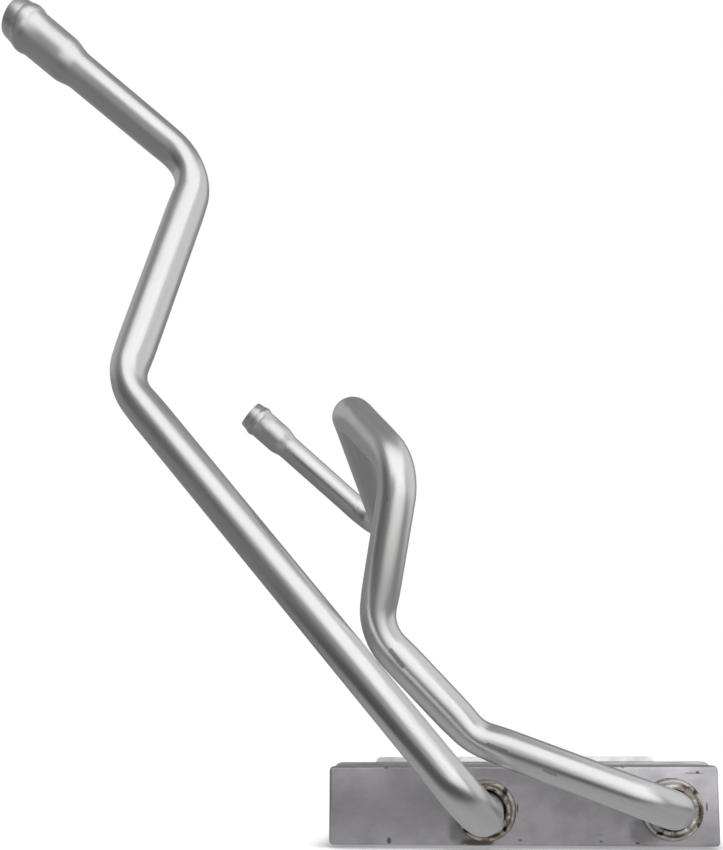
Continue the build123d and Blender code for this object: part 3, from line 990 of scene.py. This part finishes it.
def floor_material(finish):
    """Pale floor that glows: plain white to the camera but for a painted contact shadow, and in the metal a
    glow of painted light, dim with a dark patch and a bright warm patch.
    """
    made, tree, shader = start_material("pale_floor")
    colour = finish.floor_colour
    place = put(tree, "ShaderNodeTexCoord").outputs["Object"]
    shade = blend(tree, noise(tree, place, 900.0, 2.0), opaque(colour, 0.985), opaque(colour))
    mirror = put(tree, "ShaderNodeLightPath").outputs["Is Glossy Ray"]
    touch = put(tree, "ShaderNodeAmbientOcclusion", {"samples": 16}, Distance=CONTACT_REACH).outputs["AO"]
    seen = blend(tree, ramp(tree, touch, 0.45, 0.95), opaque(colour, FLOOR_CONTACT_SHADOW),
                 opaque(colour, FLOOR_WHITE))
    from_tank = vector_calc(tree, "DISTANCE", place, TANK_FACE)
    from_dark = vector_calc(tree, "DISTANCE", place, DARK_PATCH)
    from_lit = vector_calc(tree, "DISTANCE", place, LIT_PATCH)
    depth = put(tree, "ShaderNodeSeparateXYZ", None, Vector=place).outputs["Y"]
    front = ramp(tree, depth, *FRONT_REACH)
    away = opaque(colour, TABLE_AWAY)
    mirrored = blend(tree, ramp(tree, from_tank, *NEAR_REACH), opaque(colour, TABLE_NEAR), away)
    mirrored = blend(tree, front, mirrored, away)
    dark = times(tree, front, ramp(tree, from_dark, *DARK_REACH))
    mirrored = blend(tree, dark, mirrored, opaque(colour, TABLE_DARK))
    mirrored = blend(tree, ramp(tree, from_lit, *LIT_REACH), mirrored, opaque(LIT_COLOUR, TABLE_LIT))
    # Camera rays see the glowing white with its painted contact shadow; glossy rays see the glow of painted
    # light
    link(tree, shader, Base_Color=blend(tree, mirror, shade, BLACK), Roughness=0.9,
         Emission_Color=blend(tree, mirror, seen, mirrored))
    shader.inputs["Emission Strength"].default_value = 1.0
    shader.inputs["Specular IOR Level"].default_value = 0.0
    return made


def studio_world():
    """White surround behind the object, and in its reflections a dim one with a dark card at the left."""
    world = bpy.data.worlds.new("studio")
    world.use_nodes = True
    tree = world.node_tree
    background = tree.nodes["Background"]
    rays = put(tree, "ShaderNodeLightPath")
    way = put(tree, "ShaderNodeTexCoord").outputs["Generated"]
    card = vector_calc(tree, "DISTANCE", way, CARD_WAY)
    room = blend(tree, ramp(tree, card, *CARD_REACH), ROOM_COLOUR, CARD_COLOUR)
    shade = blend(tree, rays.outputs["Is Camera Ray"], room, WHITE)
    tree.links.new(shade, background.inputs["Color"])
    return world


def add_light(name, target, azimuth, elevation, distance, width, height, brightness):
    """A soft box that faces a point; brightness is what a mirror would see of it."""
    turn, lift = radians(azimuth), radians(elevation)
    way = Vector((sin(turn) * cos(lift), -cos(turn) * cos(lift), sin(lift)))
    data = bpy.data.lights.new(name, "AREA")
    data.shape = "RECTANGLE"
    data.size, data.size_y = width, height
    data.energy = brightness * pi * width * height
    lamp = bpy.data.objects.new(name, data)
    lamp.location = target + way * distance
    lamp.rotation_euler = (-way).to_track_quat("-Z", "Y").to_euler()
    bpy.context.scene.collection.objects.link(lamp)


def add_camera():
    """Camera where the photograph was taken from."""
    right = Vector(CAMERA_RIGHT).normalized()
    forward = Vector(CAMERA_FORWARD).normalized()
    up = right.cross(forward).normalized()
    data = bpy.data.cameras.new("camera")
    data.sensor_width = 36.0
    data.lens = CAMERA_LENS
    data.shift_x, data.shift_y = CAMERA_SHIFT
    camera = bpy.data.objects.new("camera", data)
    turned = Matrix((right, up, -forward)).transposed().to_4x4()
    turned.translation = Vector(CAMERA_PLACE)
    camera.matrix_world = turned
    bpy.context.scene.collection.objects.link(camera)
    return camera


class HEATERCORE_PT_panel(bpy.types.Panel):
    """Sidebar panel that lists the pieces"""
    bl_idname = "HEATERCORE_PT_panel"
    bl_label = "Heater Core"
    bl_space_type = "VIEW_3D"
    bl_region_type = "UI"
    bl_category = "Heater Core"

    def draw(self, context):
        column = self.layout.column(align=True)
        for operator in PIECES:
            column.operator(operator.bl_idname)
        for group in (context.scene.heater_core_sizes, context.scene.heater_core_finish):
            box = self.layout.box()
            for name in group.__annotations__:
                box.prop(group, name)


PIECES = (
    HEATERCORE_OT_stage,
    HEATERCORE_OT_sheet_parts,
    HEATERCORE_OT_fin_strips,
    HEATERCORE_OT_collars,
    HEATERCORE_OT_water_pipes,
)
CLASSES = (HeaterCoreSizes, HeaterCoreFinish, *PIECES, HEATERCORE_PT_panel)


def register():
    for item in CLASSES:
        bpy.utils.register_class(item)
    bpy.types.Scene.heater_core_sizes = PointerProperty(type=HeaterCoreSizes)
    bpy.types.Scene.heater_core_finish = PointerProperty(type=HeaterCoreFinish)


def unregister():
    del bpy.types.Scene.heater_core_finish
    del bpy.types.Scene.heater_core_sizes
    for item in reversed(CLASSES):
        bpy.utils.unregister_class(item)


def main():
    """Register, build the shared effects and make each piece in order."""
    register()
    build_groups()
    bpy.ops.heatercore.stage()
    bpy.ops.heatercore.sheet_parts()
    bpy.ops.heatercore.fin_strips()
    bpy.ops.heatercore.collars()
    bpy.ops.heatercore.water_pipes()


if __name__ == "__main__":
    main()
